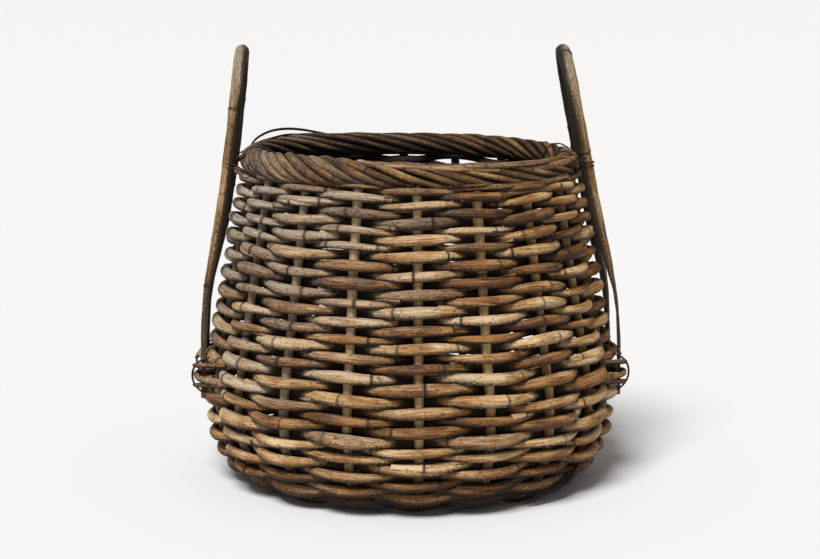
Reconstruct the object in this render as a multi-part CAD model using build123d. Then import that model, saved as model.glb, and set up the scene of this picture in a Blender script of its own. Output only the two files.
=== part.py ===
from build123d import *
import os
from math import cos, pi, radians, sin, sqrt, tan

# Round wicker log basket with two fixed hoop handles, made of round rattan rods.
#
# Nine long rods cross at the middle of the base, fan out into eighteen spokes, and turn up at the edge
# into eighteen side stakes.  Each weaver goes in front of one stake and behind the next, round the base
# and up the side, and each row goes the other way about to the row below.  Six strands are roped together
# into the border that caps the stakes.  Each handle is one thick cane bent into a hoop.  Its two legs
# stand outside the wall, are wired to the border, and are shaved thin at the foot, where some rows of the
# wall pass over them.
#
# Units are millimetres.  The origin is on the floor at the middle of the base, +Z is up, -Y is the
# front, and the handles stand at -X and +X.  Angles are in degrees from the front, and +X is at 90.

# --- Driving dimensions ---------------------------------------------------------------------------
STAKES = 18  # side stakes, an even number
STAKE_DIAMETER = 10.5
STAKE_PHASE = 2.5  # angle of the first stake

BASE_RADIUS = 183.0  # where the flat base starts to turn up, at the middle of the weave
CORNER_RADIUS = 42.0
CORNER_TURN = 70.0  # the corner's arc ends this many degrees up from level
BELLY_RADIUS = 190.0  # radius of the arc above the corner
WALL_ANGLE = 100.0  # direction of the straight wall above the belly, so that it leans in
BORDER_HEIGHT = 382.0  # height of the border's middle
BORDER_INSET = 3.7  # how far inside the stakes' tops the border's middle lies

WALL_ROWS = 36
FIRST_ROW = 4.0  # from the edge of the flat base, along the wall
LOW_PITCH = 11.4  # between the two lowest rows
TOP_ROW_GAP = 9.5  # from the highest row's middle to the stakes' tops
ROW_CLEARANCE = 0.5  # between one row and the next
ROD_CLEARANCE = 0.2  # between a weaver and a stake
WORN_DEPTH = 0.6  # how much is worn off the lowest weaver where it stands on the floor

CROSSING_GAP = 0.7  # between the parallel rods where they cross
CROSSING_PAST = 5.35  # how far the rods run on in parallel past the ones that they cross
CROSSING_SHARE = 0.3  # share of each run that a bend beside the crossing takes
FAN_RADIUS = 60.0  # the rods run straight out from here
LAYER_GAP = 0.2  # between the two layers of rods where they cross
INNER_WEAVERS = 5
INNER_DIAMETER = 5.0
INNER_START = 76.0  # radius of the innermost weaver
OUTER_WEAVERS = 8
OUTER_DIAMETER = 8.0
BASE_ROW_GAP = 1.2  # between one weaver of the base and the next

STRANDS = 6
STRAND_DIAMETER = 9.2
STRAND_TURNS = 5  # turns of a strand about the border's middle in one lap
STRAND_GAP = 0.7  # between the middles of neighbouring strands, over one strand's diameter
POINTS_PER_TURN = 6
BORDER_GAP = 0.3  # from the stakes' tops to the border

HANDLE_DIAMETER = 15.0
HOOP_RADIUS = 57.5
HANDLE_RISE = 130.5  # from the border's middle to the middle of the cane at the top of the hoop
LEFT_STANDOFF = 10.8  # between the border and a leg of the handle
LEFT_LEAN = 0.11  # how far the hoop leans in for each millimetre that it rises
RIGHT_STANDOFF = 5.6
RIGHT_LEAN = 0.195
FOOT_BELOW_BELLY = 5.0  # from the widest part of the belly down to the leg's end
FOOT_THICKNESS = 4.5  # what is left of the cane where it is shaved
FOOT_CLEARANCE = 0.4  # between the foot and the weavers inside and outside it
FOOT_HELD = 40.0  # length of the foot that weavers pass over
FOOT_RISE = 62.0  # from the leg's end to where it leaves the wall
KNEE_RISE = 67.0  # from there to the knee
KNEE_STANDOFF = 29.6  # from the middle of the wall to the middle of the cane at the knee
SHAVE_LOW = 102.0  # from the leg's end to where the taper starts
SHAVE_HIGH = 197.0  # and to where the cane is whole

WIRE_DIAMETER = 2.2
WIRE_CLEARANCE = 0.9  # round the border
LEG_WIRE_CLEARANCE = 1.8  # round a leg, which bends a little where it is tied
WIRE_SPREAD = 3.6  # between the two wires at one leg

ARC_SHARE = 0.5  # share of each run that a bend takes
TINY = 1e-3
SETTLE_STEPS = 20  # rounds of moving a weaver's points until it clears its stakes as it should

# --- Sizes that follow ----------------------------------------------------------------------------
STEP_ANGLE = 360.0 / STAKES
RODS = STAKES // 2
FIRST_DIAMETER = LOW_PITCH - ROW_CLEARANCE
BASE_MIDDLE = STAKE_DIAMETER / 2 + ROD_CLEARANCE + FIRST_DIAMETER - WORN_DEPTH

LOWER_RODS = RODS - RODS // 2  # those in the lower layer where the rods cross
CROSSING_PITCH = STAKE_DIAMETER + CROSSING_GAP
CROSSING_HALF = CROSSING_PITCH * (LOWER_RODS - 1) / 2 + STAKE_DIAMETER / 2 + CROSSING_PAST

STRAND_CIRCLE = STRAND_DIAMETER + STRAND_GAP  # radius of the strands' middles, as they are six in a ring
BORDER_REACH = STRAND_CIRCLE + STRAND_GAP / 4 + STRAND_DIAMETER / 2
STAKE_TOP = BORDER_HEIGHT - BORDER_REACH - BORDER_GAP

CORNER_R = BASE_RADIUS + CORNER_RADIUS * sin(radians(CORNER_TURN))
CORNER_Z = BASE_MIDDLE + CORNER_RADIUS * (1 - cos(radians(CORNER_TURN)))
BELLY_CENTRE_R = CORNER_R - BELLY_RADIUS * sin(radians(CORNER_TURN))
BELLY_CENTRE_Z = CORNER_Z + BELLY_RADIUS * cos(radians(CORNER_TURN))
SIDE_R = BELLY_CENTRE_R + BELLY_RADIUS * sin(radians(WALL_ANGLE))
SIDE_Z = BELLY_CENTRE_Z - BELLY_RADIUS * cos(radians(WALL_ANGLE))
TOP_R = SIDE_R + (STAKE_TOP - SIDE_Z) / tan(radians(WALL_ANGLE))
BORDER_RADIUS = TOP_R - BORDER_INSET


def around(radius, height, angle):
    """The point at that radius, height and angle."""
    return Vector(radius * sin(radians(angle)), -radius * cos(radians(angle)), height)


def across(vector, direction):
    """What is left of a vector without its share along a direction."""
    return vector - direction * vector.dot(direction)


# --- Rods along a path ----------------------------------------------------------------------------
def arc_at(before, here, after, share):
    """The largest tangent arc that share of the runs allows: its reach, its centre and its radius."""
    run_in, run_out = here - before, after - here
    reach = share * min(run_in.length, run_out.length)
    inward = (run_out.normalized() - run_in.normalized()).normalized()
    half_turn = radians(run_in.get_angle(run_out)) / 2
    radius = reach / tan(half_turn)
    return reach, here + inward * (radius / cos(half_turn)), radius


def bend(before, here, after, share):
    """Where that arc starts, its middle, and where it ends."""
    reach, centre, radius = arc_at(before, here, after, share)
    middle = centre + (here - centre).normalized() * radius
    return here - (here - before).normalized() * reach, middle, here + (after - here).normalized() * reach


def rounded_path(points, closed, share):
    """Straight runs through the points, joined by tangent arcs."""
    count = len(points)
    corners = range(count) if closed else range(1, count - 1)
    bends = [bend(points[i - 1], points[i], points[(i + 1) % count], share) for i in corners]
    last = bends[-1][2] if closed else points[0]
    edges = []
    for start, middle, end in bends:
        if (start - last).length > TINY:
            edges.append(Edge.make_line(last, start))
        edges.append(Edge.make_three_point_arc(start, middle, end))
        last = end
    if not closed:
        edges.append(Edge.make_line(last, points[-1]))
    return edges


def rod(edges, diameter):
    """A round rod along the edges."""
    path = Wire(edges)
    section = Plane(origin=path @ 0, z_dir=path % 0) * Circle(diameter / 2)
    return sweep(section, path=path)


def closed_rod(points, diameter):
    """A closed round rod that isn't flat, as two halves that meet face to face and are joined."""
    edges = rounded_path(points, True, ARC_SHARE)
    half = len(edges) // 2
    return rod(edges[:half], diameter) + rod(edges[half:], diameter)


# --- The line of the wall -------------------------------------------------------------------------
def wall_edges(angle):
    """The middle of the wall at that angle, from the edge of the flat base up to a stake's top."""

    def on_corner(turn):
        reach, rise = CORNER_RADIUS * sin(radians(turn)), CORNER_RADIUS * (1 - cos(radians(turn)))
        return around(BASE_RADIUS + reach, BASE_MIDDLE + rise, angle)

    def on_belly(turn):
        reach, drop = BELLY_RADIUS * sin(radians(turn)), BELLY_RADIUS * cos(radians(turn))
        return around(BELLY_CENTRE_R + reach, BELLY_CENTRE_Z - drop, angle)

    belly_middle = (CORNER_TURN + WALL_ANGLE) / 2
    return [
        Edge.make_three_point_arc(on_corner(0), on_corner(CORNER_TURN / 2), on_corner(CORNER_TURN)),
        Edge.make_three_point_arc(on_belly(CORNER_TURN), on_belly(belly_middle), on_belly(WALL_ANGLE)),
        Edge.make_line(around(SIDE_R, SIDE_Z, angle), around(TOP_R, STAKE_TOP, angle)),
    ]


CORNER_LENGTH = CORNER_RADIUS * radians(CORNER_TURN)
BELLY_LENGTH = BELLY_RADIUS * radians(WALL_ANGLE - CORNER_TURN)
SIDE_LENGTH = (STAKE_TOP - SIDE_Z) / sin(radians(WALL_ANGLE))
WALL_LENGTH = CORNER_LENGTH + BELLY_LENGTH + SIDE_LENGTH


def wall_station(along):
    """The wall's middle as (radius, height) at that length from the edge of the base, and its direction."""
    if along <= CORNER_LENGTH:
        turn = along / CORNER_RADIUS
        place = (BASE_RADIUS + CORNER_RADIUS * sin(turn), BASE_MIDDLE + CORNER_RADIUS * (1 - cos(turn)))
    elif along <= CORNER_LENGTH + BELLY_LENGTH:
        turn = radians(CORNER_TURN) + (along - CORNER_LENGTH) / BELLY_RADIUS
        place = (BELLY_CENTRE_R + BELLY_RADIUS * sin(turn), BELLY_CENTRE_Z - BELLY_RADIUS * cos(turn))
    else:
        turn = radians(WALL_ANGLE)
        up = along - CORNER_LENGTH - BELLY_LENGTH
        place = (SIDE_R + up * cos(turn), SIDE_Z + up * sin(turn))
    return place, turn


def wall_radius(height):
    """Radius of the middle of the wall at a height above the corner."""
    if height <= SIDE_Z:
        return BELLY_CENTRE_R + sqrt(BELLY_RADIUS**2 - (height - BELLY_CENTRE_Z) ** 2)
    return SIDE_R + (height - SIDE_Z) / tan(radians(WALL_ANGLE))


# --- Weavers --------------------------------------------------------------------------------------
def pass_by(diameter):
    """From the middle of a stake to the middle of a weaver that goes past it."""
    return (STAKE_DIAMETER + diameter) / 2 + ROD_CLEARANCE


def woven_ring(place, turn, diameter, parity, held=None):
    """One closed weaver, round the outside of every other stake and the inside of the rest.

    place and turn are those of the wall there.  Where a handle's foot lies on a stake, held gives how far
    out the middle of the foot's cane is, and the weaver goes outside it.  A bend cuts inside its point, so
    each point is moved until the bend clears what it goes round by as much as it should.
    """
    held = held or {}
    angles = [STAKE_PHASE + k * STEP_ANGLE for k in range(STAKES)]
    axes = [around(sin(turn), -cos(turn), angle) for angle in angles]
    middles = [around(*place, angle) + axes[k] * held.get(k, 0.0) for k, angle in enumerate(angles)]
    sides = [1 if k in held or (k + parity) % 2 else -1 for k in range(STAKES)]
    over = (HANDLE_DIAMETER + diameter) / 2 + FOOT_CLEARANCE
    wanted = [over if k in held else pass_by(diameter) for k in range(STAKES)]
    offsets = [side * distance for side, distance in zip(sides, wanted)]
    for _ in range(SETTLE_STEPS):
        points = [middle + axis * offset for middle, axis, offset in zip(middles, axes, offsets)]
        for k, angle in enumerate(angles):
            corner = (points[k - 1], points[k], points[(k + 1) % STAKES], ARC_SHARE)
            centre, apex = arc_at(*corner)[1], bend(*corner)[1]
            stake = around(cos(turn), sin(turn), angle)
            clear = across(apex - centre, stake).length - across(middles[k] - centre, stake).length
            offsets[k] += sides[k] * (wanted[k] - clear)
    return rod(rounded_path(points, True, ARC_SHARE), diameter)


def wall_rows():
    """Length along the wall and diameter of each row.  The pitch falls evenly as the rows go up."""
    steps = WALL_ROWS - 1
    room = WALL_LENGTH - TOP_ROW_GAP - FIRST_ROW
    taper = (steps * LOW_PITCH - room) / (steps * (steps - 1) / 2)
    rows = []
    along = FIRST_ROW
    for row in range(WALL_ROWS):
        pitch = LOW_PITCH - taper * row
        rows.append((along, pitch - ROW_CLEARANCE))
        along += pitch
    return rows


def foot_radii(diameter):
    """Radii of the inner and outer faces of a handle's foot, which lies on weavers of that diameter."""
    belly = BELLY_CENTRE_R + BELLY_RADIUS + pass_by(diameter) + diameter / 2
    return belly + FOOT_CLEARANCE, belly + FOOT_CLEARANCE + FOOT_THICKNESS


def right_stakes():
    """The two stakes that the right handle's feet lie on."""
    return STAKES // 4, STAKES // 4 + 1


def left_stakes():
    return tuple(k + RODS for k in right_stakes())


FOOT_END = BELLY_CENTRE_Z - FOOT_BELOW_BELLY
HELD_ROWS = [size for along, size in wall_rows() if abs(wall_station(along)[0][1] - FOOT_END) < FOOT_HELD]
BELLY_DIAMETER = max(HELD_ROWS)
FOOT_INSIDE, FOOT_OUTSIDE = foot_radii(BELLY_DIAMETER)


def wall_weaver(row):
    """One row of the wall.  A row beside the handles' feet passes over them."""
    along, diameter = wall_rows()[row]
    place, turn = wall_station(along)
    held = {}
    if FOOT_END + diameter / 2 < place[1] < FOOT_END + FOOT_HELD:
        out = (FOOT_OUTSIDE - HANDLE_DIAMETER / 2 - place[0]) / sin(turn)
        held = {k: out for k in right_stakes() + left_stakes()}
    return woven_ring(place, turn, diameter, row + 1, held)


def inner_base_weavers():
    pitch = INNER_DIAMETER + BASE_ROW_GAP
    rows = [INNER_START + pitch * row for row in range(INNER_WEAVERS)]
    return [woven_ring((radius, BASE_MIDDLE), 0.0, INNER_DIAMETER, n) for n, radius in enumerate(rows)]


def outer_base_weavers():
    """The thicker weavers of the base.  The last one lies beside the wall's first row."""
    pitch = OUTER_DIAMETER + BASE_ROW_GAP
    last = wall_station(FIRST_ROW)[0][0] - (FIRST_DIAMETER + OUTER_DIAMETER) / 2 - ROW_CLEARANCE
    rows = [last - pitch * row for row in range(OUTER_WEAVERS)]
    return [woven_ring((radius, BASE_MIDDLE), 0.0, OUTER_DIAMETER, n) for n, radius in enumerate(rows)]


# --- Rods of the base and sides -------------------------------------------------------------------
def stake_rod(index):
    """One long rod: up a side, across the base and up the other side.

    The first group of rods lies below the second where they cross, and runs nearest to the X axis.
    """
    first, count, layer = (0, LOWER_RODS, -1) if index < LOWER_RODS else (LOWER_RODS, RODS // 2, 1)
    start = round((90 - STAKE_PHASE) / STEP_ANGLE - (LOWER_RODS - 1) / 2)
    place = index - first - (count - 1) / 2
    heading = STAKE_PHASE + STEP_ANGLE * (start + first + (count - 1) / 2)
    level = BASE_MIDDLE + layer * (STAKE_DIAMETER + LAYER_GAP) / 2
    ahead, behind = heading + STEP_ANGLE * place, heading + 180 - STEP_ANGLE * place
    along, aside = around(1, 0, heading), around(1, 0, heading + 90)
    middle = aside * (CROSSING_PITCH * place) + Vector(0, 0, level)
    points = [
        around(BASE_RADIUS, BASE_MIDDLE, behind),
        around(FAN_RADIUS, BASE_MIDDLE, behind),
        middle - along * CROSSING_HALF,
        middle + along * CROSSING_HALF,
        around(FAN_RADIUS, BASE_MIDDLE, ahead),
        around(BASE_RADIUS, BASE_MIDDLE, ahead),
    ]
    base = rounded_path(points, False, CROSSING_SHARE)
    return rod(wall_edges(behind) + base + wall_edges(ahead), STAKE_DIAMETER)


# --- Border ---------------------------------------------------------------------------------------
def border_strand(index):
    """One closed strand of the roped border.  On the outside it falls towards +X at the front."""
    count = STRAND_TURNS * POINTS_PER_TURN
    circle = STRAND_CIRCLE / cos(pi / POINTS_PER_TURN)
    points = []
    for n in range(count):
        turn = 2 * pi * (index / STRANDS - n / POINTS_PER_TURN)
        radius = BORDER_RADIUS + circle * cos(turn)
        points.append(around(radius, BORDER_HEIGHT + circle * sin(turn), n * 360.0 / count))
    return closed_rod(points, STRAND_DIAMETER)


# --- Handles --------------------------------------------------------------------------------------
LEG_HEIGHTS = (FOOT_END, FOOT_END + FOOT_RISE, FOOT_END + FOOT_RISE + KNEE_RISE, BORDER_HEIGHT)


def leg_line(standoff):
    """Radius of the middle of a leg at each of LEG_HEIGHTS."""
    foot = FOOT_OUTSIDE - HANDLE_DIAMETER / 2
    knee = wall_radius(LEG_HEIGHTS[2]) + KNEE_STANDOFF
    rim = BORDER_RADIUS + BORDER_REACH + standoff + HANDLE_DIAMETER / 2
    return foot, foot, knee, rim


def leg_radius(height, standoff):
    """Radius of the middle of a leg between its end and the border."""
    line = leg_line(standoff)
    for n in range(len(line) - 1):
        low, high = LEG_HEIGHTS[n], LEG_HEIGHTS[n + 1]
        if height <= high:
            return line[n] + (line[n + 1] - line[n]) * (height - low) / (high - low)
    return line[-1]


def shaving(angle, standoff):
    """What is shaved off the inside of one leg."""
    stages = (
        (FOOT_END - HANDLE_DIAMETER, FOOT_THICKNESS),
        (FOOT_END + FOOT_RISE, FOOT_THICKNESS),
        (FOOT_END + SHAVE_LOW, FOOT_THICKNESS),
        (FOOT_END + SHAVE_HIGH, HANDLE_DIAMETER),
    )
    outline = []
    for height, left in stages:
        outline.append((leg_radius(max(height, FOOT_END), standoff) + HANDLE_DIAMETER / 2 - left, height))
    inside = min(radius for radius, height in outline) - 2 * HANDLE_DIAMETER
    outline += [(inside, stages[-1][0]), (inside, stages[0][0])]
    face = make_face(Polyline(*[around(*point, angle) for point in outline], close=True))
    sideways = around(0, 1, 0).cross(around(1, 0, angle))
    return extrude(face, amount=2 * HANDLE_DIAMETER, dir=sideways, both=True)


def handle(stakes, standoff, lean):
    """A hoop of cane with its two legs, each on one of the stakes."""
    middle = STAKE_PHASE + STEP_ANGLE * sum(stakes) / 2
    out, side, up = around(1, 0, middle), around(1, 0, middle + 90), Vector(0, 0, 1)
    foot, _, knee, rim = leg_line(standoff)
    foot_half = foot * sin(radians(STEP_ANGLE / 2))
    halves = (foot_half, foot_half, (foot_half + HOOP_RADIUS) / 2, HOOP_RADIUS)
    radii = (foot, foot, knee, rim)
    leg = [(sqrt(r**2 - half**2), half, z) for r, half, z in zip(radii, halves, LEG_HEIGHTS)]
    leg.append((leg[-1][0] - lean * HANDLE_RISE, HOOP_RADIUS, BORDER_HEIGHT + HANDLE_RISE))
    points = [out * o + side * h + up * z for o, h, z in leg]
    points += [out * o - side * h + up * z for o, h, z in reversed(leg)]
    cane = rod(rounded_path(points, False, ARC_SHARE), HANDLE_DIAMETER)
    for k in stakes:
        cane -= shaving(STAKE_PHASE + STEP_ANGLE * k, standoff)
    return cane


def rim_ties(stakes, standoff):
    """Two closed wires at each leg, each round the leg, over the border, down inside it and back under."""
    middle = STAKE_PHASE + STEP_ANGLE * sum(stakes) / 2
    leg_out = BORDER_RADIUS + BORDER_REACH + standoff + HANDLE_DIAMETER / 2
    reach = HANDLE_DIAMETER / 2 + LEG_WIRE_CLEARANCE + WIRE_DIAMETER / 2
    round_border = BORDER_REACH + WIRE_CLEARANCE + WIRE_DIAMETER / 2
    wires = []
    for way in (1, -1):
        angle = middle + way * degrees_of(HOOP_RADIUS / leg_out)
        out, side, up = around(1, 0, angle), around(way, 0, angle + 90), Vector(0, 0, 1)
        for first in (1, 0):
            level = WIRE_SPREAD / 2 * (1 if first else -1)
            above, below = (reach, reach + WIRE_SPREAD) if first else (reach + WIRE_SPREAD, reach)
            stops = (
                (leg_out + reach, -reach, level),
                (leg_out + reach, reach, level),
                (BORDER_RADIUS + round_border, below, -round_border),
                (BORDER_RADIUS - round_border, below, -round_border),
                (BORDER_RADIUS - round_border, -above, round_border),
                (BORDER_RADIUS + round_border, -above, round_border),
            )
            points = [out * o + side * s + up * (BORDER_HEIGHT + z) for o, s, z in stops]
            wires.append(closed_rod(points, WIRE_DIAMETER))
    return wires


def degrees_of(sine):
    """The angle in degrees that has that sine."""
    return Vector(1, 0, 0).get_angle(Vector(sqrt(1 - sine**2), sine, 0))


# --- Everything -----------------------------------------------------------------------------------
def save(shape, name):
    solids = shape if isinstance(shape, list) else [shape]
    floor = Pos(0, 0, -BORDER_HEIGHT / 2) * Box(4 * BASE_RADIUS, 4 * BASE_RADIUS, BORDER_HEIGHT)
    trimmed = [solid - floor if solid.bounding_box().min.Z < 0 else solid for solid in solids]
    export_step(trimmed[0] if len(trimmed) == 1 else Compound(children=trimmed), f"parts/{name}.step")


def build():
    os.makedirs("parts", exist_ok=True)
    for index in range(RODS):
        save(stake_rod(index), f"stake_rod_{index + 1}")
    save(inner_base_weavers(), "base_weavers_inner")
    save(outer_base_weavers(), "base_weavers_outer")
    for row in range(WALL_ROWS):
        save(wall_weaver(row), f"weaver_{row + 1:02d}")
    for index in range(STRANDS):
        save(border_strand(index), f"border_strand_{index + 1}")
    save(handle(left_stakes(), LEFT_STANDOFF, LEFT_LEAN), "handle_left")
    save(handle(right_stakes(), RIGHT_STANDOFF, RIGHT_LEAN), "handle_right")
    save(rim_ties(left_stakes(), LEFT_STANDOFF), "rim_ties_left")
    save(rim_ties(right_stakes(), RIGHT_STANDOFF), "rim_ties_right")


build()
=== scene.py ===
# %% [markdown]
# # A wicker log basket
# The basket is woven from round rattan rods that have stood outdoors for years.  Nothing on it is straight or
# equal: each rod swells and thins, has dark growth rings, and is grey where the sun reaches it and almost
# black where dirt gathers.  So this lesson has one idea.  A rod is a line through space with a thickness at
# each point, and every piece of the basket is a list of such rods.  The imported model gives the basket's true
# size and place.

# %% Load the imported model
import bmesh
import bpy
import numpy as np
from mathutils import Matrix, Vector


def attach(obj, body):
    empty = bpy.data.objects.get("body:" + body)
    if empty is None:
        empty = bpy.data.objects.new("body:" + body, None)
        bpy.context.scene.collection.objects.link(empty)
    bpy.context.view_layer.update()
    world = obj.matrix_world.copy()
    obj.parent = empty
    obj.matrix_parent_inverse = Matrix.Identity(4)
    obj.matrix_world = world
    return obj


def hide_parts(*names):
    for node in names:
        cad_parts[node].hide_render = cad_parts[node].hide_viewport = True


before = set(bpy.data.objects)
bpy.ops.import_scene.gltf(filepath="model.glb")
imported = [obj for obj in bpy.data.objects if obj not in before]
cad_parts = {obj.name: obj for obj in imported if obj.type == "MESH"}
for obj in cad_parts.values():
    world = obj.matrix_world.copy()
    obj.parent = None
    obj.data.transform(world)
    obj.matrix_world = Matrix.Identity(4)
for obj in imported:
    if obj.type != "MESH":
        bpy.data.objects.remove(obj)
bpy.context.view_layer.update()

# %% [markdown]
# ## The line of the wall
# Everything hangs on one curve: the middle of the wall, seen from the side.  It is a flat base, a tight
# corner, a round belly and a straight wall that leans in.  A length along that curve gives a radius, a height
# and a direction.  Angles go round from the front, which is -Y, towards +X.

# %% The sizes of the weave, in metres
MM = 0.001
STAKES = 18
STAKE_SIZE = 10.5 * MM
STAKE_PHASE = np.radians(2.5)
STEP = 2 * np.pi / STAKES
BASE_RADIUS = 183 * MM
BASE_MIDDLE = 15.75 * MM
CORNER_RADIUS, CORNER_TURN = 42 * MM, np.radians(70)
BELLY_RADIUS, WALL_TURN = 190 * MM, np.radians(100)
BORDER_HEIGHT = 382 * MM
STAKE_TOP = 367 * MM
ROWS = 36
FIRST_ROW, LOW_PITCH, TOP_ROW_GAP = 4 * MM, 11.4 * MM, 9.5 * MM
ROW_CLEARANCE = 0.5 * MM

CORNER_END = (
    BASE_RADIUS + CORNER_RADIUS * np.sin(CORNER_TURN),
    BASE_MIDDLE + CORNER_RADIUS * (1 - np.cos(CORNER_TURN)),
)
BELLY_CENTRE = (
    CORNER_END[0] - BELLY_RADIUS * np.sin(CORNER_TURN),
    CORNER_END[1] + BELLY_RADIUS * np.cos(CORNER_TURN),
)
SIDE_START = (
    BELLY_CENTRE[0] + BELLY_RADIUS * np.sin(WALL_TURN),
    BELLY_CENTRE[1] - BELLY_RADIUS * np.cos(WALL_TURN),
)
CORNER_LENGTH = CORNER_RADIUS * CORNER_TURN
BELLY_LENGTH = BELLY_RADIUS * (WALL_TURN - CORNER_TURN)
WALL_LENGTH = CORNER_LENGTH + BELLY_LENGTH + (STAKE_TOP - SIDE_START[1]) / np.sin(WALL_TURN)


def wall(along):
    """Radius, height and direction of the wall's middle at lengths from the base's edge, which may be < 0."""
    along = np.asarray(along, float)
    on_corner = np.clip(along, 0, CORNER_LENGTH) / CORNER_RADIUS
    on_belly = CORNER_TURN + np.clip(along - CORNER_LENGTH, 0, BELLY_LENGTH) / BELLY_RADIUS
    above = np.clip(along - CORNER_LENGTH - BELLY_LENGTH, 0, None)
    low = along < CORNER_LENGTH
    corner_radius = BASE_RADIUS + CORNER_RADIUS * np.sin(on_corner)
    corner_height = BASE_MIDDLE + CORNER_RADIUS * (1 - np.cos(on_corner))
    radius = np.where(low, corner_radius, BELLY_CENTRE[0] + BELLY_RADIUS * np.sin(on_belly))
    height = np.where(low, corner_height, BELLY_CENTRE[1] - BELLY_RADIUS * np.cos(on_belly))
    radius = radius + np.minimum(along, 0) + above * np.cos(WALL_TURN)
    height = height + above * np.sin(WALL_TURN)
    return radius, height, np.where(low, on_corner, on_belly)


def around(radius, height, angle):
    """Points at those radii, heights and angles."""
    radius, height, angle = np.broadcast_arrays(radius, height, angle)
    return np.stack([radius * np.sin(angle), -radius * np.cos(angle), height], axis=-1)


print("the wall is", round(float(WALL_LENGTH), 3), "m long from the edge of the base to the stakes' tops")

# %% [markdown]
# ## A rod
# A rod could be a cylinder bent by a modifier, a skin along edges, or a curve with a round bevel.  The curve
# is best here: each of its points has its own thickness, so one rod can swell, taper and have growth rings,
# and Blender keeps the ring of faces square to the line.  The curve becomes a mesh, its surface is made a
# little uneven, and its open ends are closed.  Five things are written on the mesh for the material to read:
# where each point is on the rod, how light the rod is, how grey, how dirty and how deep in painted shade, and
# where its growth rings are.
#
# A growth ring is a small swelling, then a groove, with a dark mark over both.  Extra points are put on the
# line there, so that the ring has a shape and isn't only painted.

# %% A rod from a line
SIDES = 12
RING_SPACING = 3.6 * MM
KNOT_OFFSETS = np.array([-4.5, -2.6, -1.4, -0.6, 0, 0.7, 1.5, 2.6, 4.5]) * MM
SWELLING_LENGTH = 2.0 * MM
GROOVE_PLACE, GROOVE_LENGTH, GROOVE_DEPTH = 2.4 * MM, 0.9 * MM, 0.06
MARK_PLACE, MARK_LENGTH = 1.6 * MM, 1.9 * MM


def hump(near, middle, half):
    """1 at a place, falling smoothly to 0 on both sides of it."""
    return np.exp(-(((near - middle) / half) ** 2))


def make_rod(line, size, rng, tone=0.5, grey=0.3, grime_and_shade=0.0, knots=0.15, swelling=0.09, rings=()):
    """A rod along a line of points.  size is its diameter, and the sixth argument how dirty it is and how much
    painted shade it has: numbers, or one a point.

    tone goes from dark to light, knots is the usual distance between growth rings, and swelling how far they
    stand out, as a share of the rod's radius.  rings gives the places of more growth rings along the rod.
    """
    count = len(line)
    runs = np.linalg.norm(np.diff(line, axis=0), axis=1)
    along = np.concatenate([[0.0], np.cumsum(runs)])
    length = along[-1]
    rings = list(rings)
    place = rng.uniform(0.1, 0.9) * knots
    while place < length:
        rings.append(place)
        place += knots * rng.uniform(0.55, 1.5)
    even = np.linspace(0, length, max(3, int(length / RING_SPACING)))
    stops = np.concatenate([even] + [ring + KNOT_OFFSETS for ring in rings])
    stops = np.unique(np.clip(stops, 0, length).round(5))
    points = np.stack([np.interp(stops, along, line[:, axis]) for axis in range(3)], axis=1)
    radius = np.interp(stops, along, np.broadcast_to(size, count) / 2)
    dirt_and_shade = np.interp(stops, along, np.broadcast_to(grime_and_shade, count))
    pale = np.interp(stops, along, np.broadcast_to(tone, count))
    dull = np.interp(stops, along, np.broadcast_to(grey, count))
    mark = np.zeros(len(stops))
    for ring in rings:
        strength = rng.uniform(0.65, 1.0)
        near = stops - ring
        radius = radius * (1 + swelling * strength * hump(near, 0, SWELLING_LENGTH))
        radius = radius * (1 - GROOVE_DEPTH * strength * hump(near, GROOVE_PLACE, GROOVE_LENGTH))
        mark = np.maximum(mark, strength * hump(near, MARK_PLACE, MARK_LENGTH))
    pale = pale + 0.10 * wander(stops, rng, 0.05) + 0.05 * wander(stops, rng, 0.015)
    radius = radius * (1 + 0.035 * wander(stops, rng, 0.03))
    return {
        "points": points, "radius": radius, "along": stops,
        "dirt_and_shade": dirt_and_shade, "tone": pale, "grey": dull, "mark": mark,
        "start": rng.uniform(0, 50), "turn": rng.uniform(0, 2 * np.pi), "oval": rng.uniform(0.0, 0.06),
    }


def wander(places, rng, spacing):
    """A smooth random line with a value of about -1 to 1 at each place."""
    knots = np.arange(places.min() - 2 * spacing, places.max() + 3 * spacing, spacing)
    values = rng.uniform(-1, 1, len(knots))
    part = (places - knots[0]) / spacing
    index = part.astype(int)
    blend = part - index
    blend = blend * blend * (3 - 2 * blend)
    return values[index] * (1 - blend) + values[index + 1] * blend


sample = make_rod(np.array([[0.0, 0, 0], [0.4, 0, 0]]), STAKE_SIZE, np.random.default_rng(1))
print("a straight rod 0.4 m long has", len(sample["points"]), "points,", int((sample["mark"] > 0.5).sum()),
      "of them on its growth rings")


# %% [markdown]
# The rods of one piece are drawn as the splines of a single curve.  The curve's bevel is a circle of radius 1,
# so that a point's own radius is the rod's radius in metres.  The mesh that comes back lists the points ring
# by ring, which is how each point finds its place on its rod.  Painted shade, with some dirt, darkens the side
# of a rod that faces into the basket and its underside, and everything close to the ground is darker.

# %% Rods to a mesh
# Painted shade, with some dirt, on faces that turn into the basket and on undersides, and how much darker
# everything is close to the ground.
INNER_PAINTED_SHADE, UNDER_PAINTED_SHADE, UNDER_FROM = 0.75, 0.7, 0.25
GROUND_REACH, GROUND_START = 62 * MM, 1.1
GROUND_DARKENING, GROUND_SHADE = 0.35, 0.5


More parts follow.
